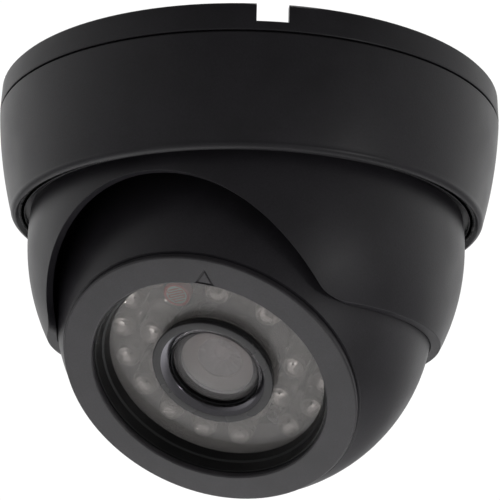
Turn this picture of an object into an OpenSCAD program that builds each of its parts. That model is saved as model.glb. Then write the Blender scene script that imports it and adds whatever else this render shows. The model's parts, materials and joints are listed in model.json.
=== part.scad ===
// Ceiling dome camera: a drum-shaped base and cover, a pan shroud with an arched opening and an
// eyeball that carries a lens and infrared LEDs. Millimetres. The ceiling face is z = 0, the camera
// hangs below it, and pan, tilt and image turn are stored at the angles below.

/* [Pose] */
// Direction the arched opening faces, from the front (-Y)
pan_deg = -26; // [-175:1:175]
// Angle of the lens up from straight down
tilt_deg = 39; // [0:1:78]
// Turn of the camera module about the lens axis
spin_deg = -19; // [-175:1:175]

/* [Base and cover] */
// Radius of the base rim, half of the overall diameter
base_r = 47; // [46.8:0.1:47.4]
// Depth of the visible base rim
rim_depth = 5; // [4.8:0.1:5]
// Width of the cable notch in the rim
notch_w = 5.5; // [4:0.5:7]
// Height of the cable notch
notch_h = 3.4; // [2.5:0.1:3.6]
// Angle of the cable notch from the front
notch_deg = 4.3; // [0:0.1:20]
// Radius of the central cable opening
cable_r = 15; // [12:0.5:16]
// Pitch circle diameter of the ceiling screws
screw_pcd = 62; // [60:1:66]
// Number of ceiling screws
screw_count = 3; // [3, 4]

/* [Shroud] */
// Outer radius of the shroud's sphere
shroud_r = 40.5; // [40.4:0.1:40.6]
// Radius of the arched opening
arch_r = 28; // [27.5:0.25:28.5]

/* [Eyeball] */
// Outer radius of the ball
ball_r = 34.8; // [34.6:0.1:34.8]
// Height of the ball's centre
ball_z = -40.2; // [-40.4:0.1:-40]
// Outer radius of the flat bezel
bezel_r = 27.05; // [26.8:0.05:27.1]

/* [Camera module] */
// Number of LEDs in each arc of the outer ring
arc_leds = 8; // [4:1:8]
// Angle between neighbours in the outer ring
led_pitch_deg = 21; // [20:0.5:21]
// Radius of an LED's body
led_r = 2.5; // [2:0.1:2.5]

/* [Hidden] */
$fn = 96;

black = [0.14, 0.14, 0.15];
satin_black = [0.2, 0.2, 0.21];
rubber_black = [0.08, 0.08, 0.08];
clear_glass = [0.75, 0.8, 0.82, 0.4];
steel = [0.7, 0.7, 0.72];
brass = [0.78, 0.62, 0.3];
board_green = [0.1, 0.32, 0.2];

eps = 0.01;
run_gap = 0.05;      // running clearance of turning fits

// Base: a tray open to the ceiling
rim_in_r = base_r - 2;
floor_top = -3.7;
floor_bottom = -5.1;
spigot_r = 42.6;
spigot_wall = 1.8;
spigot_bottom = -12;
boss_r = 4;
screw_hole_r = 2.2;

// Bayonet: the base's lugs carry the cover's
lug_count = 3;
lug_deg = 28;
base_lug_r = 43.9;
base_lug_top = -9.95;
base_lug_bottom = -11.8;
cover_lug_r = 42.8;
cover_lug_top = -7.9;
cover_lug_bottom = -9.8;

// Cover ring: its outside is an arc that leans in towards the lip
cover_top = -rim_depth - 0.25;
cover_arc_r = 84;
cover_arc_z = -1;
cover_arc_x = base_r + 0.1 - cover_arc_r;
cover_wall = 1.6;
lip_z = -24.9;
lip_edge_r = 1.2;
lip_in_r = 41.3;
lip_in_z = -25.6;
lip_top = -24.2;
flange_r = 42.5;
snap_r = 43.8;
snap_top = -20.2;
snap_bottom = -21.7;
slip_h = 0.6;        // thickness of the slip ring on the lip

// Shroud
shroud_z = -28.86;
shroud_wall = 1.6;
shroud_rim = -47.5;
shroud_top = -21.8;
arch_z = -54.8;
arch_fillet = 3;
pivot_r = 3;
pivot_boss_r = 6.5;
pivot_face = 34.9;   // inner face of the shroud's bosses, along the tilt axis
pivot_end = 37;

// Eyeball shells, in the eye's own frame: origin at the ball's centre, +Z out of the lens
shell_wall = 2.2;
shell_split = -2;
front_cut = 21.3;
rear_cut = -29;
collar_r = 25.05;
collar_back = 10;
collar_wall = 1.8;
inner_r = ball_r - shell_wall;
pin_seat_x = 31.8;   // inner face of the ball's own pivot bosses
flat_x = 34.15;      // flat on the ball under each washer
washer_t = 0.7;
shell_screw_at = 28.9;
shell_boss_r = 3.2;
shell_seat = -9;     // where the shell screws' heads bear
seal_depth = 0.5;

// Camera module
bezel_face = 22.6;
bezel_back = 21.45;
bezel_in_r = 21.6;
skirt_r = 25;
skirt_in_r = 23.6;
skirt_back = 2.4;
circlip_top = 9.9;
circlip_t = 1;
retainer_in_r = 20;
retainer_step = 19.4;
window_front = 17.8;
window_t = 1.2;
window_r = 23.5;
window_hole_r = 10.5;
seal_t = 0.8;
board_t = 1.6;
led_board_top = 6.2;
led_board_r = 23.5;
sensor_board_top = -8;
sensor_board_w = 34;
hood_face = 19.8;
hood_r = 11.2;
hood_neck_r = 10.35;
hood_bore_r = 8.35;
hood_seal_t = 0.4;

// LEDs and the photocell, placed about the LED board's own axis
board_axis_deg = 25;
led_ring_r = 19;
led_inner_r = 13.4;
led_gap_deg = 17;    // half of the gap at the photocell, where the two arcs begin
inner_led_degs = [-22, -64, -116, -151, 59, 89, 119, 180];
led_h = 8.6;
led_flange_r = 2.75;
led_flange_h = 1;
photocell_at = 13.9;
photocell_deg = 12;
photocell_r = 2.5;
photocell_back = 11;
photocell_face = 13.2;
post_at = 19.8;      // the two screws through both boards

// Lens
barrel_r = 8.2;
barrel_front = 18.7;
barrel_step = 10.5;
thread_r = 6;
barrel_back = -3.5;
element_r = 7.9;
element_rim_z = 17.6;
element_back_z = 16.1;
element_sag = 1.6;
element_sphere_r = (element_r * element_r + element_sag * element_sag) / (2 * element_sag);
holder_r = 8.2;
holder_top = 2.5;

// Radius of the cover ring's outside at a height
function cover_r(z) = cover_arc_x + sqrt(pow(cover_arc_r, 2) - pow(z - cover_arc_z, 2));

// Point on a circle, for profiles
function arc_point(cx, cy, r, a) = [cx + r * cos(a), cy + r * sin(a)];

// ---- helpers ----

// Flat ring between two heights
module ring(r_out, r_in, z0, z1) {
    difference() {
        translate([0, 0, z0]) cylinder(r = r_out, h = z1 - z0);
        translate([0, 0, z0 - 1]) cylinder(r = r_in, h = z1 - z0 + 2);
    }
}

// Solid disc between two heights
module disc(r, z0, z1) {
    translate([0, 0, z0]) cylinder(r = r, h = z1 - z0);
}

// Children's outline turned about the z axis, its seam towards +Y
module turned() {
    rotate([0, 0, 90]) rotate_extrude() children();
}

// Circle's half to the right of the z axis, for a turned outline
module half_circle(r, z) {
    intersection() {
        translate([0, z]) circle(r = r);
        translate([0, z - r - 1]) square([r + 1, 2 * r + 2]);
    }
}

// Wedge that spans an angle, centred on a direction, from the axis out to r
module wedge(r, span, at, z0, z1) {
    reach = r / cos(span / 2);
    rotate([0, 0, at])
        translate([0, 0, z0])
            linear_extrude(z1 - z0)
                polygon([[0, 0], arc_point(0, 0, reach, -span / 2), arc_point(0, 0, reach, span / 2)]);
}

// Children at a radius and an angle from +Y
module at_polar(r, a) {
    rotate([0, 0, a]) translate([0, r, 0]) children();
}

// Pan head screw: head above z = 0, shank below, with a cross recess
module pan_screw(shank_r, shank_l, head_r, head_h) {
    slot = head_r * 0.28;
    difference() {
        union() {
            cylinder(r = head_r, h = head_h);
            translate([0, 0, -shank_l]) cylinder(r = shank_r, h = shank_l + eps);
        }
        for (a = [0, 90]) {
            rotate([0, 0, a])
                translate([-head_r * 0.6, -slot / 2, head_h * 0.45])
                    cube([head_r * 1.2, slot, head_h]);
        }
    }
}

// The shroud's frame: turned by pan, origin on the ceiling face
module pan_frame() {
    rotate([0, 0, pan_deg]) children();
}

// The eye's frame: origin at the ball's centre, +Z out of the lens, +Y up in the picture
module eye_frame() {
    pan_frame()
        translate([0, 0, ball_z])
            rotate([180 - tilt_deg, 0, 0])
                children();
}

// The camera module's frame: the eye's, turned about the lens axis
module module_frame() {
    eye_frame() rotate([0, 0, spin_deg]) children();
}

// Children once on each side, along the tilt axis
module both_sides() {
    children();
    mirror([1, 0, 0]) children();
}

// ---- base ----

module base_bosses(r, z0, z1) {
    for (i = [0:screw_count - 1]) {
        rotate([0, 0, 30 + i * 360 / screw_count])
            translate([screw_pcd / 2, 0, z0])
                cylinder(r = r, h = z1 - z0);
    }
}

module base_ribs() {
    for (i = [0:8]) {
        rotate([0, 0, 10 + i * 40])
            translate([cable_r + 1, -0.6, floor_top - eps])
                cube([rim_in_r - cable_r - 0.5, 1.2, 3]);
    }
}

module base_lugs() {
    intersection() {
        ring(base_lug_r, spigot_r - 1, base_lug_bottom, cover_lug_top);
        for (i = [0:lug_count - 1]) {
            wedge(base_r, lug_deg, i * 120, base_lug_bottom, base_lug_top);
            wedge(base_r, 2, i * 120 - lug_deg / 2 - 1.6, base_lug_bottom, cover_lug_top);
        }
    }
}

module mounting_base() {
    color(satin_black) difference() {
        union() {
            rotate_extrude() polygon([
                [cable_r, floor_bottom], [spigot_r - spigot_wall, floor_bottom],
                [spigot_r - spigot_wall, spigot_bottom], [spigot_r, spigot_bottom],
                [spigot_r, -rim_depth], [base_r - 0.1, -rim_depth], [base_r, -rim_depth + 0.3],
                [base_r - 0.15, -0.5], [base_r - 0.6, 0], [rim_in_r, 0],
                [rim_in_r, floor_top], [cable_r, floor_top]
            ]);
            base_bosses(boss_r, floor_bottom + eps, 0);
            base_ribs();
            base_lugs();
        }
        base_bosses(screw_hole_r, floor_bottom - 1, 1);
        rotate([0, 0, notch_deg])
            translate([-notch_w / 2, -base_r - 1, -notch_h])
                cube([notch_w, 4, notch_h + 1]);
    }
}

module base_gasket() {
    color(rubber_black) ring(46.2, 44.9, -rim_depth - 0.2, -rim_depth);
}

// ---- cover ----

module cover_lugs() {
    intersection() {
        ring(cover_r(cover_lug_top) - 1, cover_lug_r, cover_lug_bottom, cover_lug_top);
        for (i = [0:lug_count - 1]) {
            wedge(base_r, lug_deg, i * 120, cover_lug_bottom, cover_lug_top);
        }
    }
}

module cover_ring() {
    wall_top = cover_r(cover_top) - cover_wall;
    wall_low = cover_r(snap_top) - cover_wall;
    edge_z = lip_z + lip_edge_r;
    edge_r = cover_r(edge_z) - lip_edge_r;
    outside = [for (i = [0:12]) let (z = cover_top + (edge_z - cover_top) * i / 12) [cover_r(z), z]];
    corner = [for (a = [-15:-15:-90]) arc_point(edge_r, edge_z, lip_edge_r, a)];
    color(satin_black) union() {
        rotate_extrude() polygon(concat(outside, corner, [
            [lip_in_r + 0.3, lip_in_z], [lip_in_r, lip_in_z + 0.3], [lip_in_r, lip_top],
            [flange_r + run_gap, lip_top], [flange_r + run_gap, snap_bottom],
            [snap_r, snap_bottom], [snap_r, snap_top], [wall_low - 0.5, snap_top],
            [wall_low - 0.5, snap_top + 0.8], [wall_low, snap_top + 1.6], [wall_top, cover_top]
        ]));
        cover_lugs();
    }
}

module pan_friction_ring() {
    color("ivory") ring(flange_r - 0.1, lip_in_r + 0.1, lip_top, lip_top + slip_h - run_gap);
}

module pan_retaining_ring() {
    color(steel) difference() {
        ring(snap_r, flange_r - 1.4, snap_bottom + run_gap, snap_top - run_gap);
        wedge(base_r, 14, 90, snap_bottom - 1, snap_top + 1);
    }
}

// ---- shroud ----

// Outline of the arch in the shroud's front view: a round head that flares out to the lower rim
module arch_outline() {
    lean = asin((shroud_rim + arch_fillet - arch_z) / (arch_r + arch_fillet));
    fillet_x = (arch_r + arch_fillet) * cos(lean);
    fillet_z = shroud_rim + arch_fillet;
    translate([0, arch_z]) circle(r = arch_r);
    difference() {
        polygon([
            [-fillet_x, shroud_rim - 5], [fillet_x, shroud_rim - 5], [fillet_x, fillet_z - arch_fillet],
            arc_point(0, arch_z, arch_r, lean), arc_point(0, arch_z, arch_r, 180 - lean),
            [-fillet_x, fillet_z - arch_fillet]
        ]);
        for (side = [-1, 1]) {
            translate([side * fillet_x, fillet_z]) circle(r = arch_fillet);
        }
    }
}

module shroud_outline() {
    flange_bottom = lip_top + slip_h;
    neck_r = shroud_r - shroud_wall - 0.4;
    intersection() {
        difference() {
            half_circle(shroud_r, shroud_z);
            half_circle(shroud_r - shroud_wall, shroud_z);
        }
        translate([30, shroud_rim]) square([base_r, shroud_top - shroud_rim]);
    }
    translate([neck_r, flange_bottom]) square([flange_r - neck_r, shroud_top - flange_bottom]);
}

module shroud_bosses() {
    intersection() {
        both_sides() translate([pivot_face, 0, ball_z])
            rotate([0, 90, 0]) cylinder(r = pivot_boss_r, h = 6);
        translate([0, 0, shroud_z]) sphere(r = shroud_r - shroud_wall / 2);
    }
}

module pan_shroud() {
    color(satin_black) pan_frame() difference() {
        union() {
            turned() shroud_outline();
            shroud_bosses();
        }
        both_sides() translate([pivot_face - 1, 0, ball_z])
            rotate([0, 90, 0]) cylinder(r = pivot_r + run_gap, h = pivot_end + 0.2 - pivot_face + 1);
        rotate([90, 0, 0]) linear_extrude(base_r) arch_outline();
    }
}

// ---- eyeball ----

module tilt_rod(r, x0, x1) {
    translate([x0, 0, 0]) rotate([0, 90, 0]) cylinder(r = r, h = x1 - x0);
}

module shell_screw_places() {
    for (a = [60, 180, 300]) {
        at_polar(shell_screw_at, a) children();
    }
}

// Room in both shells for the pivot pins and the flats under their washers
module pivot_cuts() {
    both_sides() tilt_rod(pivot_r, 30, 36);
    both_sides() tilt_rod(pivot_boss_r + 1, flat_x, 36);
}

module shell_bosses(r, z0, z1) {
    shell_screw_places() {
        disc(r, z0, z1);
        translate([-1.5, 0, z0]) cube([3, ball_r - shell_screw_at, z1 - z0]);
    }
}

module eye_front_shell() {
    color(satin_black) eye_frame() difference() {
        intersection() {
            sphere(r = ball_r);
            disc(ball_r + 1, shell_split, front_cut);
        }
        difference() {
            sphere(r = inner_r);
            both_sides() tilt_rod(5.5, pin_seat_x, ball_r);
            shell_bosses(shell_boss_r, shell_split - 1, 6);
            ring(collar_r + collar_wall, collar_r - 1, collar_back, front_cut);
        }
        disc(collar_r, collar_back - 1, front_cut + 1);
        pivot_cuts();
        shell_screw_places() disc(1.2, shell_split - 2, 5);
    }
}

module eye_rear_shell() {
    color(satin_black) eye_frame() difference() {
        intersection() {
            sphere(r = ball_r);
            disc(ball_r + 1, rear_cut, shell_split - eps);
        }
        difference() {
            intersection() {
                sphere(r = inner_r);
                disc(ball_r, rear_cut + shell_wall, 0);
            }
            shell_bosses(shell_boss_r + 0.2, rear_cut, 0);
        }
        ring(34, 33.1, shell_split - seal_depth, shell_split + 1);
        pivot_cuts();
        shell_screw_places() disc(1.4, rear_cut, 0);
        shell_screw_places() disc(2.4, rear_cut, shell_seat);
        disc(4, rear_cut - 1, rear_cut + shell_wall + 1);
    }
}

module shell_seal() {
    color(rubber_black) eye_frame() difference() {
        ring(33.95, 33.15, shell_split - seal_depth, shell_split);
        both_sides() tilt_rod(pivot_r + 0.3, 30, 36);
    }
}

module shell_screws() {
    color(steel) eye_frame() shell_screw_places()
        translate([0, 0, shell_seat]) rotate([180, 0, 0]) pan_screw(1.2, 13.5, 2.2, 1.6);
}

module tilt_pivot_pins() {
    color(steel) eye_frame() both_sides() {
        tilt_rod(pivot_r, pin_seat_x - 0.1, pivot_end);
        tilt_rod(4.4, pin_seat_x - 1.2, pin_seat_x);
    }
}

module pivot_washers() {
    color("ivory") eye_frame() both_sides() difference() {
        tilt_rod(6, flat_x, flat_x + washer_t);
        tilt_rod(pivot_r, flat_x - 1, flat_x + washer_t + 1);
    }
}

module cable_grommet() {
    color(rubber_black) eye_frame() rotate_extrude() polygon([
        [2.2, rear_cut - 2], [5.4, rear_cut - 2], [5.6, rear_cut], [4, rear_cut],
        [4, rear_cut + shell_wall], [5.4, rear_cut + shell_wall], [5.4, rear_cut + shell_wall + 1.2],
        [2.2, rear_cut + shell_wall + 1.2]
    ]);
}

// ---- camera module ----

// Outline triangle engraved in the bezel's face
module up_mark() {
    mark = [[-1.6, 21.95], [1.6, 21.95], [0, 25.1]];
    inside = [[-1.15, 22.25], [1.15, 22.25], [0, 24.5]];
    translate([0, 0, bezel_face - 0.25]) linear_extrude(1) difference() {
        polygon(mark);
        polygon(inside);
    }
}

module bezel_ring() {
    color(satin_black) module_frame() difference() {
        rotate_extrude() polygon([
            [bezel_in_r + 0.25, bezel_face], [bezel_r - 0.35, bezel_face],
            [bezel_r - 0.1, bezel_face - 0.1], [bezel_r, bezel_face - 0.35], [bezel_r, bezel_back],
            [skirt_r, bezel_back], [skirt_r, circlip_top], [skirt_r - 0.7, circlip_top],
            [skirt_r - 0.7, circlip_top - circlip_t], [skirt_r, circlip_top - circlip_t],
            [skirt_r, skirt_back], [skirt_in_r, skirt_back], [skirt_in_r, bezel_back],
            [bezel_in_r, bezel_back], [bezel_in_r, bezel_face - 0.25]
        ]);
        up_mark();
    }
}

module window_retainer() {
    out_r = skirt_in_r - 0.05;
    color(black) module_frame() rotate_extrude() polygon([
        [retainer_in_r, window_front], [out_r, window_front], [out_r, bezel_back],
        [retainer_in_r + 1.2, bezel_back], [retainer_in_r + 0.8, retainer_step + 0.2],
        [retainer_in_r + 0.4, retainer_step]
    ]);
}

module front_window() {
    color(clear_glass) module_frame()
        ring(window_r, window_hole_r, window_front - window_t, window_front);
}

module window_seal() {
    z1 = window_front - window_t;
    color(rubber_black) module_frame() ring(window_r, 20.9, z1 - seal_t, z1);
}

module spacer_sleeve() {
    z1 = window_front - window_t - seal_t;
    color(black) module_frame() ring(window_r, 22.2, led_board_top, z1);
}

module lens_hood() {
    foot = window_front + hood_seal_t;
    color(black) module_frame() rotate_extrude() polygon([
        [hood_bore_r, led_board_top], [hood_neck_r, led_board_top], [hood_neck_r, foot],
        [hood_r - 0.15, foot], [hood_r - 0.15, foot + 0.5], [hood_r - 0.4, foot + 0.6],
        [hood_r - 0.4, foot + 0.9], [hood_r, foot + 1], [hood_r, hood_face - 0.15],
        [hood_r - 0.15, hood_face], [hood_bore_r + 1.3, hood_face], [hood_bore_r, hood_face - 0.8]
    ]);
}

module hood_seal() {
    color(rubber_black) module_frame()
        ring(hood_r - 0.3, hood_neck_r, window_front, window_front + hood_seal_t);
}

// Angles of the outer LEDs about the board's axis: two arcs with a gap at each end
function outer_led_deg(i) = (i < arc_leds ? 1 : -1) * (led_gap_deg + (i % arc_leds) * led_pitch_deg);

module board_frame() {
    module_frame() rotate([0, 0, board_axis_deg]) children();
}

module post_places() {
    for (a = [0, 180]) {
        at_polar(post_at, a) children();
    }
}

module led_board() {
    color(board_green) board_frame() difference() {
        disc(led_board_r, led_board_top - board_t, led_board_top);
        disc(barrel_r + 0.3, 0, 10);
        post_places() disc(1.1, 0, 10);
    }
}

// 5 mm LED standing at z = 0
module led() {
    color(clear_glass) rotate_extrude() polygon(concat(
        [[0, 0], [led_flange_r, 0], [led_flange_r, led_flange_h], [led_r, led_flange_h]],
        [for (a = [0:15:90]) arc_point(0, led_h - led_r, led_r, a)]
    ));
}

module ir_leds_outer() {
    board_frame() for (i = [0:2 * arc_leds - 1]) {
        at_polar(led_ring_r, outer_led_deg(i)) translate([0, 0, led_board_top]) led();
    }
}

module ir_leds_inner() {
    board_frame() for (a = inner_led_degs) {
        at_polar(led_inner_r, a) translate([0, 0, led_board_top]) led();
    }
}

module photocell() {
    color("indianred") board_frame() at_polar(photocell_at, photocell_deg) {
        disc(photocell_r, photocell_back, photocell_face);
        for (x = [-1.3, 1.3]) {
            translate([x, 0, 0]) disc(0.3, led_board_top, photocell_back + eps);
        }
    }
}

module board_retaining_ring() {
    z1 = led_board_top - board_t;
    color(black) module_frame() ring(skirt_in_r - 0.02, 21.9, z1 - 1.2, z1);
}

module module_circlip() {
    color(steel) module_frame() difference() {
        ring(26.6, skirt_r - 0.7, circlip_top - circlip_t + 0.05, circlip_top - 0.02);
        wedge(30, 24, 40, circlip_top - 3, circlip_top + 1);
    }
}

module board_standoffs() {
    color(brass) board_frame() post_places() difference() {
        translate([0, 0, sensor_board_top])
            cylinder(r = 2.2, h = led_board_top - board_t - sensor_board_top, $fn = 6);
        disc(0.95, sensor_board_top - 1, led_board_top);
    }
}

module board_screws() {
    color(steel) board_frame() post_places() {
        translate([0, 0, led_board_top]) pan_screw(0.9, 5, 1.8, 1.3);
        translate([0, 0, sensor_board_top - board_t])
            rotate([180, 0, 0]) pan_screw(0.9, 5, 1.8, 1.3);
    }
}

module sensor_board() {
    w = sensor_board_w;
    color(board_green) board_frame() difference() {
        rotate([0, 0, 45]) translate([-w / 2, -w / 2, sensor_board_top - board_t]) cube([w, w, board_t]);
        post_places() disc(1.1, -20, 0);
        for (x = [-9.5, 9.5]) {
            translate([x, 0, 0]) disc(0.9, -20, 0);
        }
    }
}

module board_chips() {
    back = sensor_board_top - board_t;
    color([0.12, 0.12, 0.13]) board_frame() {
        translate([-4, -4.5, back - 1.1]) cube([9, 9, 1.1]);
        translate([-3.5, -14, back - 0.9]) cube([4, 5, 0.9]);
        translate([1, 8, back - 1.6]) cube([3.2, 3.2, 1.6]);
        translate([-14, 4, back - 1.8]) cube([4, 4, 1.8]);
    }
}

link_x = 15.6;       // place of the lead that joins the boards
module board_connectors() {
    color("ivory") board_frame() {
        translate([link_x - 1.6, -4, led_board_top - board_t - 3]) cube([3.2, 8, 3]);
        translate([link_x - 1.6, -4, sensor_board_top]) cube([3.2, 8, 3]);
        translate([6, 6, sensor_board_top - board_t - 5]) cube([4, 7, 5]);
    }
}

module link_wires() {
    z0 = sensor_board_top + 3;
    z1 = led_board_top - board_t - 3;
    color("white") board_frame() for (i = [0:3]) {
        translate([link_x, -3 + i * 2, 0]) disc(0.5, z0, z1);
    }
}

module image_sensor() {
    color([0.25, 0.25, 0.3]) board_frame()
        translate([-4.5, -4.5, sensor_board_top]) cube([9, 9, 1.2]);
}

module ir_cut_filter() {
    color([0.55, 0.25, 0.3, 0.6]) board_frame() disc(6.9, -5.1, -4.5);
}

module lens_holder() {
    color(black) board_frame() difference() {
        union() {
            disc(holder_r, sensor_board_top, holder_top);
            hull() for (x = [-9.5, 9.5]) {
                translate([x, 0, sensor_board_top]) cylinder(r = 3, h = 2.5, $fn = 32);
            }
        }
        disc(thread_r + run_gap, -10, holder_top + 1);
        disc(7, -10, -4.5);
        for (x = [-9.5, 9.5]) {
            translate([x, 0, 0]) disc(0.8, -10, -6.2);
        }
    }
}

module holder_screws() {
    color(steel) board_frame() for (x = [-9.5, 9.5]) {
        translate([x, 0, sensor_board_top - board_t]) rotate([180, 0, 0]) pan_screw(0.75, 3, 1.5, 1);
    }
}

// ---- lens ----

module lens_barrel() {
    color(black) module_frame() rotate_extrude() polygon([
        [4.2, barrel_back], [thread_r, barrel_back], [thread_r, barrel_step], [barrel_r - 0.3, barrel_step],
        [barrel_r, barrel_step + 0.3], [barrel_r, barrel_front], [element_r + 0.05, barrel_front - 0.3],
        [element_r + 0.05, 15], [6.4, 15], [6.4, 12.6], [4.2, 12.6]
    ]);
}

module lens_front_element() {
    color(clear_glass) module_frame() union() {
        disc(element_r, element_back_z, element_rim_z + eps);
        intersection() {
            translate([0, 0, element_rim_z + element_sag - element_sphere_r]) sphere(r = element_sphere_r);
            disc(element_r, element_rim_z, barrel_front + 2);
        }
    }
}

module lens_spacer_ring() {
    color(black) module_frame() ring(element_r, 6.45, 15, element_back_z);
}

module lens_inner_element() {
    color(clear_glass) module_frame() disc(6.35, 13.1, 14.6);
}

module aperture_stop() {
    color(rubber_black) module_frame() ring(6.35, 1.3, 12.6, 13.1);
}

module lens_rear_element() {
    color(clear_glass) module_frame() disc(4.2, -2.6, 0.4);
}

module focus_lock_ring() {
    color(black) module_frame() difference() {
        ring(8.2, thread_r, holder_top + 0.15, holder_top + 1.9);
        for (a = [0:30:330]) {
            rotate([0, 0, a]) translate([8, -0.5, 0]) cube([1, 1, 6]);
        }
    }
}

mounting_base();
base_gasket();
cover_ring();
pan_friction_ring();
pan_retaining_ring();
pan_shroud();
eye_front_shell();
eye_rear_shell();
shell_seal();
shell_screws();
tilt_pivot_pins();
pivot_washers();
cable_grommet();
bezel_ring();
window_retainer();
front_window();
window_seal();
spacer_sleeve();
lens_hood();
hood_seal();
led_board();
ir_leds_outer();
ir_leds_inner();
photocell();
board_retaining_ring();
module_circlip();
board_standoffs();
board_screws();
sensor_board();
board_chips();
board_connectors();
link_wires();
image_sensor();
ir_cut_filter();
lens_holder();
holder_screws();
lens_barrel();
lens_front_element();
lens_spacer_ring();
lens_inner_element();
aperture_stop();
lens_rear_element();
focus_lock_ring();
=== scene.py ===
"""Looks of the ceiling dome camera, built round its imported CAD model, in metres and in the CAD's frame."""

import json
from math import acos, asin, atan2, cos, degrees, pi, radians, sin, sqrt, tan

import bmesh
import bpy
import numpy as np
from mathutils import Matrix, Vector


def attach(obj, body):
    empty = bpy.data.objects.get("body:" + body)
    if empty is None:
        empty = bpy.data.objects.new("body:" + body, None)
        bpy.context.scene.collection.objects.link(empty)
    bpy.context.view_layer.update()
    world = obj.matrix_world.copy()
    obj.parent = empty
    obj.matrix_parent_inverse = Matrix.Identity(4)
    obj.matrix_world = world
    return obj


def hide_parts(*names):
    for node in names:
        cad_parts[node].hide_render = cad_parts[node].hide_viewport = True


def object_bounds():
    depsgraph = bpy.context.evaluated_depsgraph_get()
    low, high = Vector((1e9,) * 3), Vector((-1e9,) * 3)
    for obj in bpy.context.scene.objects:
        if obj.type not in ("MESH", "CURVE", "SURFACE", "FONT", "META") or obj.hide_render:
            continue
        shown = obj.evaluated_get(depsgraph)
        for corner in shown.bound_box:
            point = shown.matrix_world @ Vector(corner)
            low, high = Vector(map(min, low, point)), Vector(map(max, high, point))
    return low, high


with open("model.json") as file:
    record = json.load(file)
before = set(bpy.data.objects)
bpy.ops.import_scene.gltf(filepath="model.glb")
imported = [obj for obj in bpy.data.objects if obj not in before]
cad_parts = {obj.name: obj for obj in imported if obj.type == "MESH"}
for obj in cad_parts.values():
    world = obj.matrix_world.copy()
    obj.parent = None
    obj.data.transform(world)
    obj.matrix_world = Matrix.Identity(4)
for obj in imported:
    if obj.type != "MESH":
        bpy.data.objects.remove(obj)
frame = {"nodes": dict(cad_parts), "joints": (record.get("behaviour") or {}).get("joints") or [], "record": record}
cad_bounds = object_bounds()
nodes = frame["nodes"]
joints = {joint["name"]: joint for joint in frame["joints"]}

MM = 0.001
TURN = 2 * pi

# ---- the camera: below the ceiling, in front of the dome, looking up at it ----
CAMERA_AT = Vector((0, -347.8, -136.2)) * MM
CAMERA_AIM = Vector((0.72, 0, -29.1)) * MM
CAMERA_ROLL = radians(1.43)
CAMERA_FIELD = radians(14.584)

# ---- light, in metres and watts ----
WORLD_BRIGHT = 1.0
WORLD_DIM = 0.135
WORLD_OVERHEAD = 0.35
WORLD_SEEN = 1.05                              # the surround's white, where the camera sees it
DIM_FROM = Vector((0.1, -1.0, 0.45)).normalized()
FLOOR_REACH = 6.0
FLOOR_DROP = 0.55                              # from the dome's lowest point
FLOOR_LIGHT = 150                              # it lights the floor below and behind, not the dome
FLOOR_LIGHT_AT = Vector((0, 0.6, 0.9))
FLOOR_LIGHT_AIM = Vector((-0.1, 0.45, 0))      # the height is the floor's
SIDE_LIGHT = 0.42                              # small softbox in front and to the right
SIDE_LIGHT_AT = Vector((0.575, -0.5, -0.27))
SIDE_LIGHT_SIZE = 0.1

# ---- shape details, in millimetres and degrees ----
WALL_ARC = 84.0        # the drum's wall bulges along this radius
WALL_ARC_Z = -1.0      # height of that arc's centre
LUG_RISE = 2.2         # bayonet lugs inside the drum, over the bottom of the base
LUG_IN_R = 42.8
LUG_T = 1.9
LUG_SPAN = 28
SHROUD_WALL = 1.6
FLANGE_T = 1.8
SPHERE_Z = -28.86      # height of the shroud's centre
ARCH_R = 28.0
ARCH_FILLET = 3.0
ARCH_TOP = -26.8
PIVOT_HOLE_R = 3.05
PIVOT_BOSS_R = 6.5
PIVOT_FACE = 34.9      # how far the pivot bosses' inner faces stand from the middle
RETAINER_STEP = 1.6    # the first step of the window's retainer, over the window
LED_FLANGE = 0.25      # how far an LED's flange stands out
LED_CUP_DEPTH = 1.5    # from an LED's top down to its reflector cup
CONE_W = 1.3           # the hood's polished cone, measured along the radius
LENS_SAG = 1.6         # height of the front glass's dome
IRIS_R = 3.7
BARREL_STEP = 10.5     # where the lens barrel narrows to its thread
BORE_INSET = 2.2       # the barrel's rear bore is this much smaller than the stop


def make_camera():
    data = bpy.data.cameras.new("camera")
    data.sensor_fit = "HORIZONTAL"
    data.angle = CAMERA_FIELD
    data.clip_start = 0.01
    camera = bpy.data.objects.new("camera", data)
    bpy.context.scene.collection.objects.link(camera)
    ahead = (CAMERA_AIM - CAMERA_AT).normalized()
    right = ahead.cross(Vector((0, 0, 1))).normalized()
    up = right.cross(ahead)
    rolled_right = right * cos(CAMERA_ROLL) + up * sin(CAMERA_ROLL)
    rolled_up = up * cos(CAMERA_ROLL) - right * sin(CAMERA_ROLL)
    camera.matrix_world = frame_matrix(CAMERA_AT, rolled_right, rolled_up, -ahead)
    bpy.context.scene.camera = camera


def frame_matrix(origin, x, y, z):
    """Matrix that takes local coordinates to the row frame."""
    matrix = Matrix((x, y, z)).transposed().to_4x4()
    matrix.translation = origin
    return matrix


# ---- frames of the moving bodies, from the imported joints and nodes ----
ball_centre = Vector(joints["tilt"]["pos_m"])
lens_axis = Vector(joints["image_rotation"]["axis"]).normalized()
gimbal_x = -Vector(joints["tilt"]["axis"]).normalized()
gimbal_y = Vector((0, 0, 1)).cross(gimbal_x)

BASE = Matrix.Identity(4)
SHROUD = frame_matrix(Vector((0, 0, 0)), gimbal_x, gimbal_y, Vector((0, 0, 1)))
EYE = frame_matrix(ball_centre, gimbal_x, lens_axis.cross(gimbal_x), lens_axis)


def local_points(node, place):
    """A CAD node's vertices in a local frame, in millimetres."""
    inverse = place.inverted()
    return np.array([inverse @ vertex.co for vertex in nodes[node].data.vertices]) / MM


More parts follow.
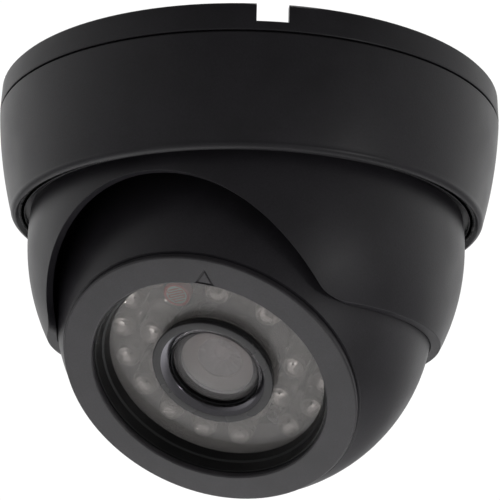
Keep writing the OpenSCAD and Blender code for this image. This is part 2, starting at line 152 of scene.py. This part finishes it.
def solids(node, place):
    """Low and high corner of each separate solid of a CAD node, in a local frame, in millimetres."""
    mesh = bmesh.new()
    mesh.from_mesh(nodes[node].data)
    bmesh.ops.remove_doubles(mesh, verts=mesh.verts, dist=1e-6)
    left = set(mesh.verts)
    boxes = []
    while left:
        island = {left.pop()}
        edge_of_island = list(island)
        while edge_of_island:
            vertex = edge_of_island.pop()
            for edge in vertex.link_edges:
                other = edge.other_vert(vertex)
                if other in left:
                    left.remove(other)
                    island.add(other)
                    edge_of_island.append(other)
        points = [place.inverted() @ vertex.co / MM for vertex in island]
        low = Vector(min(point[i] for point in points) for i in range(3))
        high = Vector(max(point[i] for point in points) for i in range(3))
        boxes.append((low, high))
    mesh.free()
    return sorted(boxes, key=lambda box: (round(atan2(box[0].y, box[0].x), 3), box[0].z))


class Extent:
    """Reach of a CAD node about a local frame's z axis, in millimetres."""

    def __init__(self, node, place):
        points = local_points(node, place)
        radii = np.hypot(points[:, 0], points[:, 1])
        self.r_in, self.r_out = float(radii.min()), float(radii.max())
        self.z_low, self.z_high = float(points[:, 2].min()), float(points[:, 2].max())


wires = local_points("link_wires", EYE).mean(axis=0)
board_turn = atan2(wires[1], wires[0])
BOARD = EYE @ Matrix.Rotation(board_turn, 4, "Z")


# ---- mesh making ----


def arc(centre_r, centre_z, radius, start, end, count):
    """Points along an arc, angles in degrees."""
    angles = np.radians(np.linspace(start, end, count))
    return [(centre_r + radius * cos(a), centre_z + radius * sin(a)) for a in angles]


def rounded(corners, steps=4):
    """Closed outline whose (r, z, radius) corners are rounded and whose (r, z) corners stay sharp."""
    outline = []
    for i, corner in enumerate(corners):
        point = Vector(corner[:2])
        if len(corner) == 2:
            outline.append(tuple(point))
            continue
        radius = corner[2]
        before = (Vector(corners[i - 1][:2]) - point).normalized()
        after = (Vector(corners[(i + 1) % len(corners)][:2]) - point).normalized()
        half = acos(max(-1, min(1, before.dot(after)))) / 2
        centre = point + (before + after).normalized() * (radius / sin(half))
        first = point + before * (radius / tan(half)) - centre
        last = point + after * (radius / tan(half)) - centre
        sweep = first.angle_signed(last)
        for step in range(steps + 1):
            turned = first.copy()
            turned.rotate(Matrix.Rotation(-sweep * step / steps, 2))
            outline.append(tuple(centre + turned))
    return outline


def grid_faces(columns, rows):
    """Quads between columns of points; both the columns and each column's points close into a ring."""
    faces = []
    for i in range(columns):
        j = (i + 1) % columns
        for k in range(rows):
            m = (k + 1) % rows
            faces.append((i * rows + k, j * rows + k, j * rows + m, i * rows + m))
    return faces


class Shape:
    """Points, in millimetres of a local frame, and faces of one or more simple solids."""

    def __init__(self):
        self.points, self.faces = [], []

    def take(self, points, faces, place=Matrix.Identity(4)):
        first = len(self.points)
        self.points += [place @ Vector(point) for point in points]
        self.faces += [tuple(first + i for i in face) for face in faces]
        return self

    def turned(self, outline, steps=192, place=Matrix.Identity(4)):
        """Solid of revolution about the z axis, from a closed outline of (r, z) points."""
        points = [(r * cos(TURN * i / steps), r * sin(TURN * i / steps), z)
                  for i in range(steps) for r, z in outline]
        return self.take(points, grid_faces(steps, len(outline)), place)

    def block(self, low, high, place=Matrix.Identity(4)):
        points = [(x, y, z) for x in (low[0], high[0]) for y in (low[1], high[1]) for z in (low[2], high[2])]
        faces = [(0, 1, 3, 2), (4, 6, 7, 5), (0, 4, 5, 1), (2, 3, 7, 6), (0, 2, 6, 4), (1, 5, 7, 3)]
        return self.take(points, faces, place)

    def sector(self, r_in, r_out, z_low, z_high, middle, span, steps=14, place=Matrix.Identity(4)):
        """Part of a flat ring, angles in degrees."""
        angles = np.radians(np.linspace(middle - span / 2, middle + span / 2, steps))
        section = [(r_in, z_low), (r_out, z_low), (r_out, z_high), (r_in, z_high)]
        points = [(r * cos(a), r * sin(a), z) for a in angles for r, z in section]
        faces = [(4 * i + k, 4 * i + 4 + k, 4 * i + 4 + (k + 1) % 4, 4 * i + (k + 1) % 4)
                 for i in range(steps - 1) for k in range(4)]
        last = 4 * (steps - 1)
        return self.take(points, faces + [(0, 1, 2, 3), (last + 3, last + 2, last + 1, last)], place)

    def piece(self, name, place, material, body, slot, sharp=40):
        """The object: it gets its material, rides on its body, and its steep edges stay sharp."""
        mesh = bpy.data.meshes.new(name)
        mesh.from_pydata([tuple(place @ (point * MM)) for point in self.points], [], self.faces)
        edit = bmesh.new()
        edit.from_mesh(mesh)
        bmesh.ops.remove_doubles(edit, verts=edit.verts, dist=1e-7)
        bmesh.ops.dissolve_degenerate(edit, edges=edit.edges, dist=1e-7)
        bmesh.ops.recalc_face_normals(edit, faces=edit.faces)
        edit.to_mesh(mesh)
        edit.free()
        mesh.shade_smooth()
        mesh.set_sharp_from_angle(angle=radians(sharp))
        mesh.materials.append(materials[material])
        made = bpy.data.objects.new(name, mesh)
        bpy.context.scene.collection.objects.link(made)
        made.modifiers.new("weighted_normals", "WEIGHTED_NORMAL").keep_sharp = True
        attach(made, body)
        return made


def lathe(name, outline, place, body, slot, steps=192):
    """One turned piece in its slot's own material."""
    return Shape().turned(outline, steps).piece(name, place, slot, body, slot)


def round_edges(piece, width, angle=35):
    """Small radius on every edge steeper than the angle; the width is in millimetres."""
    bevel = piece.modifiers.new("edge_rounding", "BEVEL")
    bevel.width = width * MM
    bevel.segments = 3
    bevel.limit_method = "ANGLE"
    bevel.angle_limit = radians(angle)
    bevel.use_clamp_overlap = True
    piece.modifiers.move(len(piece.modifiers) - 1, 0)


# ---- materials ----


def add_node(tree, kind, links=None, **values):
    """New shader node: its attributes are set, and its sockets get numbers or links."""
    made = tree.nodes.new("ShaderNode" + kind)
    for key, value in values.items():
        setattr(made, key, value)
    for socket, source in (links or {}).items():
        if isinstance(source, (int, float, tuple)):
            made.inputs[socket].default_value = source
        else:
            tree.links.new(source, made.inputs[socket])
    return made


class Nodes:
    """Short way to wire a material's nodes."""

    def __init__(self, name):
        self.material = bpy.data.materials.new(name)
        self.material.use_nodes = True
        self.tree = self.material.node_tree
        self.shader = self.tree.nodes["Principled BSDF"]

    def add(self, kind, links=None, **values):
        return add_node(self.tree, kind, links, **values)

    def set(self, **values):
        for key, value in values.items():
            self.shader.inputs[key.replace("_", " ")].default_value = value

    def link(self, source, socket):
        self.tree.links.new(source, self.shader.inputs[socket])

    def noise(self, coordinates, scale, detail=2.0, roughness=0.5):
        made = self.add("TexNoise", {"Vector": coordinates, "Scale": scale, "Detail": detail,
                                     "Roughness": roughness})
        return made.outputs["Fac"]

    def between(self, value, low, high, from_low=0.3, from_high=0.7):
        made = self.add("MapRange", {"Value": value, "From Min": from_low, "From Max": from_high,
                                     "To Min": low, "To Max": high})
        return made.outputs["Result"]

    def bump(self, height, distance, strength=1.0):
        made = self.add("Bump", {"Height": height, "Distance": distance, "Strength": strength})
        self.link(made.outputs["Normal"], "Normal")

    def tint(self, value, dark, light):
        made = self.add("Mix", {"Factor": value, 6: (*dark, 1.0), 7: (*light, 1.0)}, data_type="RGBA")
        self.link(made.outputs[2], "Base Color")


def moulded_plastic(name, colour, roughness=0.4, grain=0.22, depth=0.006, specular=0.5):
    """Moulded plastic: a fine spark-eroded grain, with faint patches of smoother and rougher skin."""
    n = Nodes(name)
    at = n.add("TexCoord").outputs["Object"]
    fine = n.noise(at, 1 / (grain * MM), 3.0, 0.6)
    patches = n.noise(at, 1 / (9 * MM), 3.0, 0.55)
    mixed = n.add("Math", {0: fine, 1: patches}, operation="MULTIPLY")
    n.tint(n.between(mixed.outputs[0], 0.0, 1.0, 0.15, 0.35), [c * 0.82 for c in colour],
           [c * 1.18 for c in colour])
    n.link(n.between(patches, roughness - 0.035, roughness + 0.035), "Roughness")
    n.bump(fine, depth * MM)
    n.set(Specular_IOR_Level=specular, IOR=1.46)
    return n.material


def rubber(name, colour):
    n = Nodes(name)
    at = n.add("TexCoord").outputs["Object"]
    fine = n.noise(at, 1 / (0.35 * MM), 4.0, 0.7)
    n.tint(n.between(fine, 0, 1), [c * 0.7 for c in colour], [c * 1.3 for c in colour])
    n.link(n.between(fine, 0.62, 0.8), "Roughness")
    n.bump(fine, 0.02 * MM)
    return n.material


def metal(name, colour, roughness, streak=(1.0, 1.0, 1.0), grain=0.3):
    """Bare or plated metal: streaks along one direction where it is drawn or turned."""
    n = Nodes(name)
    at = n.add("TexCoord").outputs["Object"]
    stretched = n.add("Mapping", {"Vector": at, "Scale": streak})
    fine = n.noise(stretched.outputs[0], 1 / (grain * MM), 4.0, 0.65)
    n.tint(n.between(fine, 0, 1), [c * 0.85 for c in colour], [min(1, c * 1.1) for c in colour])
    n.link(n.between(fine, roughness * 0.75, roughness * 1.3), "Roughness")
    n.bump(fine, 0.004 * MM)
    n.set(Metallic=1.0)
    return n.material


def clear(name, colour, ior, roughness=0.0, haze=0.02, milk=0.0):
    """Glass or water-clear resin, with faint wipe marks in its polish and a little milkiness."""
    n = Nodes(name)
    at = n.add("TexCoord").outputs["Object"]
    marks = n.noise(at, 1 / (4 * MM), 5.0, 0.7)
    n.tint(n.between(marks, 0, 1), [c * 0.99 for c in colour], colour)
    n.link(n.between(marks, roughness, roughness + haze), "Roughness")
    n.set(Transmission_Weight=1.0 - milk, IOR=ior)
    return n.material


def circuit_board(name):
    """Dark solder resist over copper traces, which show as faint raised lines."""
    n = Nodes(name)
    at = n.add("TexCoord").outputs["Object"]
    cells = n.add("TexVoronoi", {"Vector": at, "Scale": 1 / (1.6 * MM), "Randomness": 0.35},
                  distance="MANHATTAN")
    lines = n.between(cells.outputs["Distance"], 0, 1, 0.42, 0.5)
    n.tint(lines, (0.008, 0.012, 0.011), (0.016, 0.026, 0.022))
    n.link(n.between(n.noise(at, 1 / (2 * MM)), 0.26, 0.4), "Roughness")
    n.bump(lines, 0.02 * MM, 0.5)
    return n.material


BLACK = (0.0202, 0.0186, 0.0226)
materials = {
    "base_plastic": moulded_plastic("base_plastic", BLACK, 0.42, 0.3, 0.016),
    "cover_plastic": moulded_plastic("cover_plastic", BLACK, 0.4, 0.3, 0.016),
    "shroud_plastic": moulded_plastic("shroud_plastic", (0.0225, 0.0207, 0.025), 0.42, 0.3, 0.016),
    # ball_plastic is the same black plastic as the cover and shroud, coloured lighter as painted light: it stands
    # in for bounce light in its shade under the shroud
    "ball_plastic": moulded_plastic("ball_plastic", (0.0275, 0.0253, 0.0302), 0.44, 0.3, 0.016),
    "bezel_plastic": moulded_plastic("bezel_plastic", (0.0505, 0.0475, 0.0525), 0.38),
    "trim_plastic": moulded_plastic("trim_plastic", (0.008, 0.008, 0.0085), 0.4, specular=0.4),
    "hood_plastic": moulded_plastic("hood_plastic", (0.03, 0.029, 0.031), 0.27, depth=0.002),
    "hood_cone": metal("hood_cone", (0.17, 0.165, 0.18), 0.16, grain=0.2),
    "black_rubber": rubber("black_rubber", (0.012, 0.012, 0.012)),
    "acetal": moulded_plastic("acetal", (0.72, 0.7, 0.64), 0.45),
    "spring_steel": metal("spring_steel", (0.5, 0.5, 0.52), 0.28),
    "zinc_steel": metal("zinc_steel", (0.66, 0.67, 0.7), 0.3),
    "standoff_brass": metal("standoff_brass", (0.74, 0.53, 0.22), 0.26, streak=(1, 1, 12)),
    "window_glass": clear("window_glass", (0.98, 0.94, 0.92), 1.33, milk=0.14),
    "lens_glass": clear("lens_glass", (0.95, 0.91, 0.91), 1.36, milk=0.125),
    "filter_glass": clear("filter_glass", (0.55, 0.85, 0.9), 1.5),
    "led_epoxy": clear("led_epoxy", (0.98, 0.975, 0.97), 1.6, 0.0, 0.03, milk=0.2),
    "led_frame": metal("led_frame", (1.0, 0.99, 0.97), 0.15, grain=0.1),
    "photocell_face": moulded_plastic("photocell_face", (0.5, 0.07, 0.06), 0.2, depth=0.002),
    "photocell_ceramic": moulded_plastic("photocell_ceramic", (0.34, 0.42, 0.36), 0.35, depth=0.003),
    "board_resist": circuit_board("board_resist"),
    "chip_epoxy": moulded_plastic("chip_epoxy", (0.02, 0.02, 0.02), 0.5),
    "connector_nylon": moulded_plastic("connector_nylon", (0.66, 0.62, 0.5), 0.4),
    "wire_pvc": moulded_plastic("wire_pvc", (0.7, 0.7, 0.7), 0.35),
    "sensor_package": moulded_plastic("sensor_package", (0.05, 0.045, 0.07), 0.12),
    "lens_anodised": metal("lens_anodised", (0.03, 0.03, 0.032), 0.4),
    "iris_plate": moulded_plastic("iris_plate", (0.22, 0.2, 0.19), 0.5),
}
node_slots = {part["node"]: part["material_slot"] for part in frame["record"]["subparts"]}


def dress_nodes():
    """Every carried-over CAD node gets its slot's material."""
    for name, node in nodes.items():
        node.data.materials.clear()
        node.data.materials.append(materials[node_slots[name]])
        node.data.shade_smooth()
        node.data.set_sharp_from_angle(angle=radians(30))


# ---- the stage ----


floor_z = cad_bounds[0].z - FLOOR_DROP


def make_floor():
    """Plain pale paper, well below the dome."""
    mesh = bpy.data.meshes.new("floor")
    reach = FLOOR_REACH
    corners = [(-reach, -reach), (reach, -reach), (reach, reach), (-reach, reach)]
    mesh.from_pydata([(x, y, floor_z) for x, y in corners], [], [(0, 1, 2, 3)])
    floor = bpy.data.objects.new("floor", mesh)
    bpy.context.scene.collection.objects.link(floor)
    n = Nodes("floor_paper")
    at = n.add("TexCoord").outputs["Object"]
    n.tint(n.between(n.noise(at, 40.0), 0, 1), (0.80, 0.80, 0.80), (0.83, 0.83, 0.83))
    n.set(Roughness=0.9)
    mesh.materials.append(n.material)


def make_world():
    """White surround whose light is bright behind the dome and dim in front of it and overhead."""
    world = bpy.data.worlds.new("studio")
    bpy.context.scene.world = world
    world.use_nodes = True
    tree = world.node_tree
    tree.nodes.clear()
    direction = add_node(tree, "TexCoord").outputs["Generated"]
    facing = add_node(tree, "VectorMath", {0: direction, 1: tuple(DIM_FROM)}, operation="DOT_PRODUCT")
    around = add_node(tree, "MapRange", {"Value": facing.outputs["Value"], "From Min": -0.6, "From Max": 0.9,
                                         "To Min": WORLD_BRIGHT, "To Max": WORLD_DIM})
    height = add_node(tree, "SeparateXYZ", {0: direction}).outputs["Z"]
    overhead = add_node(tree, "MapRange", {"Value": height, "From Min": 0.35, "From Max": 0.9,
                                           "To Min": 1.0, "To Max": WORLD_OVERHEAD})
    light = add_node(tree, "Math", {0: around.outputs["Result"], 1: overhead.outputs["Result"]},
                     operation="MULTIPLY")
    white = (1.0, 1.0, 1.0, 1.0)
    lit = add_node(tree, "Background", {"Color": white, "Strength": light.outputs[0]})
    seen = add_node(tree, "Background", {"Color": white, "Strength": WORLD_SEEN})
    camera_ray = add_node(tree, "LightPath").outputs["Is Camera Ray"]
    both = add_node(tree, "MixShader", {0: camera_ray, 1: lit.outputs[0], 2: seen.outputs[0]})
    add_node(tree, "OutputWorld", {"Surface": both.outputs[0]})
    bpy.context.scene.view_settings.view_transform = "Standard"


def place_lamp(light, place, aim):
    """Puts a light in the scene, shining at a point."""
    lamp = bpy.data.objects.new(light.name, light)
    bpy.context.scene.collection.objects.link(lamp)
    lamp.location = place
    lamp.rotation_euler = (place - aim).to_track_quat("Z", "Y").to_euler()


def make_lamps():
    """A broad spot on the floor behind the dome, and a small softbox that gives the plastic its sheen."""
    spot = bpy.data.lights.new("floor_light", "SPOT")
    spot.energy = FLOOR_LIGHT
    spot.spot_size = radians(60)
    spot.spot_blend = 1.0
    spot.shadow_soft_size = 0.1
    place_lamp(spot, FLOOR_LIGHT_AT, FLOOR_LIGHT_AIM + Vector((0, 0, floor_z)))
    softbox = bpy.data.lights.new("side_light", "AREA")
    softbox.energy = SIDE_LIGHT
    softbox.shape = "DISK"
    softbox.size = SIDE_LIGHT_SIZE
    place_lamp(softbox, SIDE_LIGHT_AT, ball_centre)


# ---- cover ring ----


def make_cover():
    """Tapered drum with a bulging wall, an inward lip and seat, and three bayonet lugs."""
    cover = Extent("cover_ring", BASE)
    top = cover.z_high
    top_r = cover.r_out
    arc_r = top_r - sqrt(WALL_ARC ** 2 - (top - WALL_ARC_Z) ** 2)
    lip_edge = 1.2
    lip_z = cover.z_low + 0.7 + lip_edge
    low_angle = degrees(asin((lip_z - WALL_ARC_Z) / WALL_ARC))
    high_angle = degrees(asin((top - 0.35 - WALL_ARC_Z) / WALL_ARC))
    wall = arc(arc_r, WALL_ARC_Z, WALL_ARC, high_angle, low_angle, 40)
    corner_r = wall[-1][0] - lip_edge
    corner = arc(corner_r, lip_z, lip_edge, -6, -80, 9)
    slip = Extent("pan_friction_ring", BASE)
    snap = Extent("pan_retaining_ring", BASE)
    flange = Extent("pan_shroud", SHROUD)
    inner = rounded([
        (cover.r_in, cover.z_low, 0.3), (cover.r_in, slip.z_low, 0.15), (flange.r_out + 0.05, slip.z_low),
        (flange.r_out + 0.05, snap.z_low - 0.05), (snap.r_out, snap.z_low - 0.05),
        (snap.r_out, snap.z_high + 0.05), (wall[20][0] - 2.2, snap.z_high + 0.05),
        (wall[12][0] - 1.6, snap.z_high + 2), (top_r - 1.7, top, 0.2), (top_r - 0.05, top, 0.25),
    ])
    drum = Shape().turned(inner + wall + corner, 288)
    low = Extent("mounting_base", BASE).z_low + LUG_RISE
    for i in range(3):
        drum.sector(LUG_IN_R, top_r - 1, low, low + LUG_T, i * 120, LUG_SPAN)
    piece = drum.piece("cover_drum", BASE, "cover_plastic", "cover", "cover_plastic")
    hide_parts("cover_ring")


# ---- pan shroud ----


def arch_curve(shroud_rim, arch_top, arch_r, fillet, count):
    """Right half of the arch in the shroud's front view, from its top down to the rim: (x, z) points."""
    centre_z = arch_top - arch_r
    fillet_z = shroud_rim + fillet
    lean = asin((fillet_z - centre_z) / (arch_r + fillet))
    fillet_x = (arch_r + fillet) * cos(lean)
    head = arc(0, centre_z, arch_r, 90, degrees(lean), count)
    flare = arc(fillet_x, fillet_z, fillet, 180 + degrees(lean), 270, count // 5)
    return head + flare[1:]


def make_shroud():
    """Spherical shell with a flange on top, and an arch cut straight back through its front."""
    cad = Extent("pan_shroud", SHROUD)
    points = local_points("pan_shroud", SHROUD)
    outside = np.linalg.norm(points - np.array([0, 0, SPHERE_Z]), axis=1)
    sphere_r = float(np.sort(outside[points[:, 2] < ARCH_TOP - 2])[-20])
    rim, top = cad.z_low, cad.z_high
    flange_bottom = top - FLANGE_T
    half = arch_curve(rim, ARCH_TOP, ARCH_R, ARCH_FILLET, 90)
    front = [(-x, z) for x, z in reversed(half)] + half[1:]

    def ring_r(radius, z):
        return sqrt(radius ** 2 - (z - SPHERE_Z) ** 2)

    def heading(x, z, radius):
        return asin(x / ring_r(radius, z))

    inner_r = sphere_r - SHROUD_WALL
    edges = [(heading(x, z, sphere_r), heading(x, z, inner_r), z) for x, z in front]
    last_out, last_in = edges[-1][0], edges[-1][1]
    behind = 200    # columns round the back, where the rim is level
    for i in range(1, behind):
        share = i / behind
        out_angle = last_out + (TURN - 2 * last_out) * share
        in_angle = last_in + (TURN - 2 * last_in) * share
        edges.append((out_angle, in_angle, rim))
    rows = 26
    rise = [(k / (rows - 1)) ** 1.25 for k in range(rows)]    # rows crowd a little towards the edge
    vertices = []
    for out_angle, in_angle, z_edge in edges:
        column = []
        for share in rise:
            z = z_edge + (flange_bottom - z_edge) * share
            column.append((ring_r(sphere_r, z), z, out_angle))
        column += [(cad.r_out, flange_bottom, out_angle), (cad.r_out, top, out_angle)]
        for share in reversed(rise):
            z = z_edge + (top - z_edge) * share
            angle = in_angle + (out_angle - in_angle) * share
            column.append((ring_r(inner_r, z), z, angle))
        vertices += [(r * sin(a), -r * cos(a), z) for r, z, a in column]
    shell = Shape().take(vertices, grid_faces(len(edges), 2 * rows + 2))
    pivot_z = ball_centre.z / MM
    for side in (-1, 1):
        ring = []
        for i in range(48):
            angle = TURN * i / 48
            for radius, from_wall in ((PIVOT_HOLE_R, False), (PIVOT_BOSS_R, False), (PIVOT_BOSS_R, True),
                                      (PIVOT_HOLE_R, True)):
                y, z = radius * cos(angle), pivot_z + radius * sin(angle)
                wall_x = sqrt((sphere_r - SHROUD_WALL / 2) ** 2 - y ** 2 - (z - SPHERE_Z) ** 2)
                ring.append((side * (wall_x if from_wall else PIVOT_FACE), y, z))
        shell.take(ring, grid_faces(48, 4))
    piece = shell.piece("shroud_shell", SHROUD, "shroud_plastic", "shroud", "shroud_plastic", 35)
    round_edges(piece, 0.4)
    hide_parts("pan_shroud")


# ---- base, eyeball and bezel: their CAD shapes, with softened edges ----


def soften_cad_edges():
    """Fine rounding, in millimetres, on the CAD nodes that are seen as they are."""
    for name, width in (("mounting_base", 0.15), ("eye_front_shell", 0.15), ("eye_rear_shell", 0.15),
                        ("bezel_ring", 0.1)):
        weld = nodes[name].modifiers.new("weld", "WELD")
        weld.merge_threshold = 1e-6
        bevel = nodes[name].modifiers.new("edge_rounding", "BEVEL")
        bevel.width = width * MM
        bevel.segments = 2
        bevel.limit_method = "ANGLE"
        bevel.angle_limit = radians(40)
        bevel.use_clamp_overlap = True
        nodes[name].modifiers.new("weighted_normals", "WEIGHTED_NORMAL").keep_sharp = True


# ---- camera module ----


def make_retainer():
    """Black ring over the window, with two fine steps down its wall."""
    ring = Extent("window_retainer", EYE)
    step = ring.z_low + RETAINER_STEP
    outline = rounded([
        (ring.r_in, ring.z_low), (ring.r_out, ring.z_low), (ring.r_out, ring.z_high),
        (ring.r_in + 1.2, ring.z_high, 0.08), (ring.r_in + 0.8, step + 0.2, 0.04),
        (ring.r_in + 0.4, step, 0.08),
    ])
    piece = lathe("window_retainer_ring", outline, EYE, "module", "trim_plastic")
    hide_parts("window_retainer")


def make_window():
    """Flat annular window with fine chamfers."""
    plate = Extent("front_window", EYE)
    chamfer = 0.12
    outline = rounded([(r, z, chamfer) for r, z in (
        (plate.r_in, plate.z_low), (plate.r_out, plate.z_low), (plate.r_out, plate.z_high),
        (plate.r_in, plate.z_high))], 2)
    piece = lathe("window_plate", outline, EYE, "module", "window_glass")
    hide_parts("front_window")


def make_hood():
    """Turned hood round the lens: a foot on the window, a groove and a polished cone inside its mouth."""
    hood = Extent("lens_hood", EYE)
    foot = Extent("hood_seal", EYE).z_high
    neck = Extent("hood_seal", EYE).r_in
    mouth = hood.z_high
    cone_r = hood.r_in + CONE_W
    outline = rounded([
        (hood.r_in, hood.z_low), (neck, hood.z_low), (neck, foot), (hood.r_out - 0.15, foot, 0.06),
        (hood.r_out - 0.15, foot + 0.5, 0.06), (hood.r_out - 0.45, foot + 0.6),
        (hood.r_out - 0.45, foot + 0.9), (hood.r_out, foot + 1, 0.06), (hood.r_out, mouth, 0.2),
        (cone_r, mouth, 0.05), (cone_r, mouth - 0.1), (hood.r_in, mouth - 0.9),
    ])
    piece = lathe("hood_turned", outline, EYE, "module", "hood_plastic")
    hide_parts("lens_hood")
    cone = [(hood.r_in, mouth - 0.9), (cone_r, mouth - 0.1), (cone_r, mouth - 0.02),
            (hood.r_in + 0.05, mouth - 0.78)]
    Shape().turned(cone).piece("hood_polished_cone", EYE, "hood_cone", "module", "hood_plastic")


def led_outline(radius, flange, height):
    """Half section of a 5 mm LED body: flange, slightly tapered wall and dome."""
    dome_z = height - radius
    foot = [(0, 0.02), (flange - 0.1, 0.02), (flange, 0.12), (flange, 0.85), (flange - 0.12, 1.0),
            (radius, 1.05)]
    return foot + arc(0, dome_z, radius - 0.03, 0, 90, 12)


def make_leds(node, name):
    """Clear bodies, each round a cup with its chip, and a bond wire arched over to a second leg."""
    bodies, frames, chips = Shape(), Shape(), Shape()
    for low, high in solids(node, BOARD):
        middle = (low + high) / 2
        outwards = atan2(middle.y, middle.x)
        place = Matrix.Translation((middle.x, middle.y, low.z)) @ Matrix.Rotation(outwards, 4, "Z")
        flange = (high.x - low.x) / 2
        height = high.z - low.z
        bodies.turned(led_outline(flange - LED_FLANGE, flange, height), 40, place)
        cup_z = height - LED_CUP_DEPTH
        cup = [(0, cup_z - 0.85), (0.5, cup_z - 0.85), (1.05, cup_z - 0.65), (1.6, cup_z - 0.1), (1.8, cup_z),
               (1.6, cup_z - 1.0), (0, cup_z - 1.0)]
        at_cup = place @ Matrix.Translation((-0.3, 0, 0))
        frames.turned(cup, 24, at_cup)
        frames.block((-0.8, -0.22, 2.2), (0.55, 0.22, cup_z - 0.95), at_cup)
        frames.block((-1.15, -0.22, -2.4), (-0.7, 0.22, 3.0), at_cup)
        frames.block((1.05, -0.22, -2.4), (1.5, 0.22, 3.0), place)
        frames.block((1.05, -0.22, 2.8), (2.05, 0.22, 3.6), place)
        frames.block((1.65, -0.22, 3.4), (2.05, 0.22, cup_z - 0.3), place)
        chips.block((-0.12, -0.12, cup_z - 0.86), (0.12, 0.12, cup_z - 0.73), at_cup)
        at_wire = place @ Matrix.Translation((0.78, 0, cup_z - 0.5)) @ Matrix.Rotation(pi / 2, 4, "X")
        frames.sector(1.08, 1.13, -0.025, 0.025, 96, 192, 20, at_wire)
    made = bodies.piece(name + "_bodies", BOARD, "led_epoxy", "module", "led_epoxy", 30)
    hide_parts(node)
    frames.piece(name + "_frames", BOARD, "led_frame", "module", "spring_steel", 30)
    chips.piece(name + "_chips", BOARD, "chip_epoxy", "module", "chip_epoxy", 30)


def make_photocell():
    """Light sensor: an enamelled disc with a pale face and a winding track, on two leads."""
    boxes = solids("photocell", BOARD)
    low = Vector(min(box[0][i] for box in boxes) for i in range(3))
    high = Vector(max(box[1][i] for box in boxes) for i in range(3))
    middle = (low + high) / 2
    radius = (high.x - low.x) / 2
    top = high.z
    place = Matrix.Translation((middle.x, middle.y, 0))
    back = top - 2.1
    rim_r = radius - 0.55
    outline = rounded([(0, back), (radius, back, 0.3), (radius, top, 0.35), (rim_r, top, 0.1),
                       (rim_r - 0.05, top - 0.15), (0, top - 0.15)])
    disc = Shape().turned(outline, 64, place)
    for x in (-1.3, 1.3):
        lead = [(0, low.z), (0.25, low.z), (0.25, back + 0.1), (0, back + 0.1)]
        disc.turned(lead, 16, place @ Matrix.Translation((x, 0, 0)))
    made = disc.piece("photocell_body", BOARD, "photocell_face", "module", "photocell_face")
    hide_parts("photocell")
    face_r = radius - 0.62
    outline = [(0, top - 0.3), (face_r, top - 0.3), (face_r, top - 0.1), (0, top - 0.1)]
    plate = Shape().turned(outline, 64, place)
    plate.piece("photocell_plate", BOARD, "photocell_ceramic", "module", "photocell_face")
    track = Shape()
    rows = 6
    for i in range(rows):
        y = (i - (rows - 1) / 2) * 0.5
        half = sqrt((radius - 0.9) ** 2 - y ** 2)
        track.block((-half, y - 0.1, top - 0.12), (half, y + 0.1, top - 0.05), place)
        if i < rows - 1:
            end = half - 0.1 if i % 2 else 0.1 - half
            track.block((end - 0.1, y, top - 0.12), (end + 0.1, y + 0.5, top - 0.05), place)
    track.piece("photocell_track", BOARD, "photocell_face", "module", "photocell_face")


# ---- lens ----


def make_lens():
    """Barrel with a stepped bore, the domed front glass and the iris plate behind it."""
    barrel = Extent("lens_barrel", EYE)
    glass = Extent("lens_front_element", EYE)
    spacer = Extent("lens_spacer_ring", EYE)
    inner = Extent("lens_inner_element", EYE)
    stop = Extent("aperture_stop", EYE)
    thread_r = Extent("focus_lock_ring", EYE).r_in
    outline = rounded([
        (stop.r_out - BORE_INSET, barrel.z_low), (thread_r, barrel.z_low), (thread_r, BARREL_STEP),
        (barrel.r_out, BARREL_STEP, 0.2), (barrel.r_out, barrel.z_high, 0.12),
        (glass.r_out + 0.06, barrel.z_high - 0.3, 0.05), (glass.r_out + 0.06, spacer.z_low),
        (stop.r_out + 0.05, spacer.z_low), (stop.r_out + 0.05, stop.z_low),
        (stop.r_out - BORE_INSET, stop.z_low),
    ])
    piece = lathe("lens_barrel_turned", outline, EYE, "lens", "lens_anodised")
    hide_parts("lens_barrel")

    rim_z = glass.z_high - LENS_SAG
    dome_r = (glass.r_out ** 2 + LENS_SAG ** 2) / (2 * LENS_SAG)
    rim_deg = degrees(acos(glass.r_out / dome_r))
    outline = arc(0, glass.z_high - dome_r, dome_r, 90, rim_deg, 24)
    outline += [(glass.r_out, rim_z - 0.05), (glass.r_out, glass.z_low), (0, glass.z_low)]
    piece = lathe("lens_front_glass", outline, EYE, "lens", "lens_glass")
    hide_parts("lens_front_element")

    iris_z = inner.z_high + 0.05
    outline = rounded([(IRIS_R, iris_z), (spacer.r_in - 0.06, iris_z), (spacer.r_in - 0.06, iris_z + 0.3),
                       (IRIS_R, iris_z + 0.12)])
    Shape().turned(outline).piece("lens_iris_plate", EYE, "iris_plate", "lens", "lens_anodised")


# ---- everything ----

make_camera()
make_floor()
make_world()
make_lamps()
dress_nodes()
soften_cad_edges()
make_cover()
make_shroud()
make_retainer()
make_window()
make_hood()
make_leds("ir_leds_outer", "outer_led")
make_leds("ir_leds_inner", "inner_led")
make_photocell()
make_lens()
